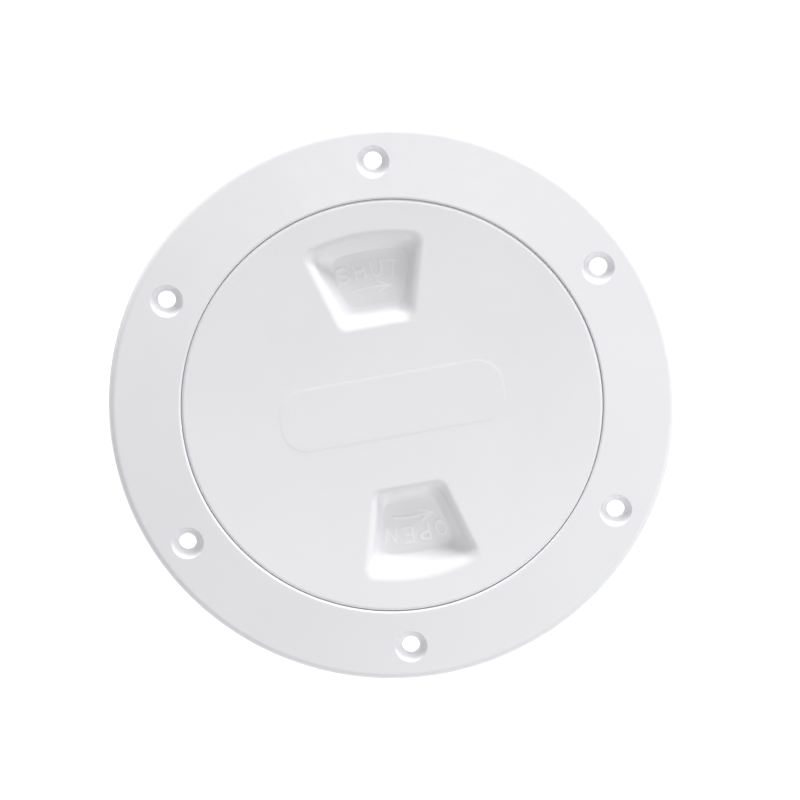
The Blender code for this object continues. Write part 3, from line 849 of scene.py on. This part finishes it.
def mark_highlight_mask(tree, place):
    """Mask for the painted highlight: 1 on the level tops of the raised marks in the wells, and 0
    elsewhere.
    """
    height = node(tree, "ShaderNodeSeparateXYZ")
    tree.links.new(place, height.inputs["Vector"])
    facing = node(tree, "ShaderNodeSeparateXYZ")
    tree.links.new(node(tree, "ShaderNodeNewGeometry").outputs["Normal"], facing.inputs["Vector"])
    above = remap(tree, height.outputs["Z"], (WELL_FLOOR_Z, WELL_FLOOR_Z + MARK_RISE), (0.0, 1.0))
    ceiling = (WELL_FLOOR_Z + 1.2 * MARK_RISE, WELL_FLOOR_Z + 1.6 * MARK_RISE)
    below = remap(tree, height.outputs["Z"], ceiling, (1.0, 0.0))
    level = remap(tree, facing.outputs["Z"], (0.96, 0.995), (0.0, 1.0))
    return times(tree, times(tree, above, below), level)


def white_plastic(name, first, second, roughness, mark_highlight=False):
    """Satin moulded plastic: faint flow shading, an uneven sheen, a very fine grain and a painted highlight
    on mark tops.
    """
    material = bpy.data.materials.new(name)
    material.use_nodes = True
    tree = material.node_tree
    shader = tree.nodes["Principled BSDF"]
    place = node(tree, "ShaderNodeTexCoord").outputs["Object"]
    flow = spread(tree, noise(tree, place, scale=35.0, detail=3.0), 0.0, 1.0)
    colour = blend_colours(tree, flow, first, second)
    if mark_highlight:
        # Painted highlight: the level tops of the raised marks get a lighter colour, standing in for the
        # light they catch.
        painted_highlight = node(tree, "ShaderNodeMix", data_type="RGBA")
        painted_highlight.inputs["B"].default_value = (0.91, 0.91, 0.93, 1.0)
        tree.links.new(colour, painted_highlight.inputs["A"])
        tree.links.new(mark_highlight_mask(tree, place), painted_highlight.inputs["Factor"])
        colour = painted_highlight.outputs["Result"]
    tree.links.new(colour, shader.inputs["Base Color"])
    patches = noise(tree, place, scale=220.0, detail=4.0, roughness=0.6)
    tree.links.new(spread(tree, patches, roughness - 0.05, roughness + 0.05), shader.inputs["Roughness"])
    grain = noise(tree, place, scale=3200.0, detail=2.0)
    ripple = noise(tree, place, scale=420.0, detail=2.0)
    tree.links.new(surface_bump(tree, [(ripple, 0.04 * MM, 0.25), (grain, 0.01 * MM, 0.35)]),
                   shader.inputs["Normal"])
    shader.inputs["IOR"].default_value = 1.5
    shader.inputs["Metallic"].default_value = 0.0
    return material


def seal_rubber():
    """Black nitrile rubber with a dusty bloom."""
    material = bpy.data.materials.new("seal_rubber")
    material.use_nodes = True
    tree = material.node_tree
    shader = tree.nodes["Principled BSDF"]
    place = node(tree, "ShaderNodeTexCoord").outputs["Object"]
    bloom = spread(tree, noise(tree, place, scale=260.0, detail=5.0, roughness=0.6), 0.0, 1.0)
    tree.links.new(blend_colours(tree, bloom, (0.012, 0.012, 0.013), (0.03, 0.03, 0.031)),
                   shader.inputs["Base Color"])
    sheen = noise(tree, place, scale=700.0, detail=3.0)
    tree.links.new(spread(tree, sheen, 0.5, 0.7), shader.inputs["Roughness"])
    grain = noise(tree, place, scale=2400.0, detail=3.0)
    tree.links.new(surface_bump(tree, [(grain, 0.02 * MM, 0.4)]), shader.inputs["Normal"])
    shader.inputs["IOR"].default_value = 1.52
    return material


# ---- Stage, lights and camera --------------------------------------------------------------------
FLOOR_GAP = 0.02 * MM          # keeps the floor clear of the collar's foot


def build_floor():
    """A plain white sweep that glows a little, as a lit table does."""
    bm = bmesh.new()
    bmesh.ops.create_grid(bm, x_segments=2, y_segments=2, size=3.0)
    floor = make_object("floor", bm)
    floor.location.z = BASE_Z - FLOOR_GAP
    material = bpy.data.materials.new("floor_white")
    material.use_nodes = True
    tree = material.node_tree
    shader = tree.nodes["Principled BSDF"]
    place = node(tree, "ShaderNodeTexCoord").outputs["Object"]
    tone = spread(tree, noise(tree, place, scale=6.0, detail=2.0), 0.0, 1.0)
    tree.links.new(blend_colours(tree, tone, (0.84, 0.84, 0.84), (0.86, 0.86, 0.86)),
                   shader.inputs["Base Color"])
    shader.inputs["Roughness"].default_value = 0.9
    shader.inputs["Emission Color"].default_value = (1.0, 1.0, 1.0, 1.0)
    shader.inputs["Emission Strength"].default_value = 0.5
    floor.data.materials.append(material)


def soft_light(name, azimuth, elevation, distance, size, power):
    """A round area light that faces the hatch."""
    light = bpy.data.lights.new(name, "AREA")
    light.shape = "DISK"
    light.size = size
    light.energy = power
    obj = bpy.data.objects.new(name, light)
    direction = Vector((math.cos(elevation) * math.cos(azimuth), math.cos(elevation) * math.sin(azimuth),
                        math.sin(elevation)))
    obj.location = Vector((0.0, 0.0, TOP_Z)) + direction * distance
    obj.rotation_euler = direction.to_track_quat("Z", "Y").to_euler()
    bpy.context.scene.collection.objects.link(obj)


def build_lights():
    """A low key from the far side, and faint fills."""
    far, near = {"distance": 1.5, "size": 0.6}, {"distance": 0.5, "size": 0.3}
    soft_light("key", azimuth=75 * DEG, elevation=12 * DEG, power=26.8, **far)
    soft_light("left_fill", azimuth=180 * DEG, elevation=12 * DEG, power=2.1, **far)
    soft_light("top", azimuth=0.0, elevation=90 * DEG, power=3.8, **far)
    soft_light("near_low", azimuth=315 * DEG, elevation=30 * DEG, power=0.86, **near)
    soft_light("near_high", azimuth=270 * DEG, elevation=55 * DEG, power=0.16, **near)
    world = bpy.data.worlds.new("studio")
    world.use_nodes = True
    background = world.node_tree.nodes["Background"]
    background.inputs["Color"].default_value = (1.0, 1.0, 1.0, 1.0)
    background.inputs["Strength"].default_value = 0.3
    bpy.context.scene.world = world
    bpy.context.scene.view_settings.view_transform = "Standard"


def build_camera():
    """Nearly straight down on the hatch, leaning towards +Y, with +Y up in the picture."""
    tilt, azimuth, distance, width = 12.6 * DEG, 92.2 * DEG, 1.6, 204.7 * MM
    aim_right, aim_up = 2.0 * MM, 1.74 * MM
    back = Vector((math.sin(tilt) * math.cos(azimuth), math.sin(tilt) * math.sin(azimuth), math.cos(tilt)))
    right = Vector((0.0, 1.0, 0.0)).cross(back).normalized()
    up = back.cross(right)
    data = bpy.data.cameras.new("camera")
    data.sensor_width = 36.0
    data.lens = data.sensor_width * distance / width
    data.clip_end = 20.0
    data.dof.use_dof = False
    camera = bpy.data.objects.new("camera", data)
    aim = Vector((0.0, 0.0, TOP_Z)) + right * aim_right + up * aim_up
    turn = Matrix((right, up, back)).transposed().to_4x4()
    camera.matrix_world = Matrix.Translation(aim + back * distance) @ turn
    bpy.context.scene.collection.objects.link(camera)
    bpy.context.scene.camera = camera


# ---- The scene -------------------------------------------------------------------------------------
frame_plastic = white_plastic("frame_plastic", (0.83, 0.83, 0.855), (0.85, 0.85, 0.87), 0.42)
# The lid's material paints a highlight on the level tops of the raised marks in its wells.
lid_plastic = white_plastic("lid_plastic", (0.82, 0.82, 0.84), (0.84, 0.84, 0.86), 0.45, mark_highlight=True)
finish_piece(build_frame(), frame_plastic, "frame", "frame")
finish_piece(build_lid(), lid_plastic, "lid", "lid")
finish_piece(build_o_ring(), seal_rubber(), "seal", "o_ring")
build_floor()
build_lights()
build_camera()
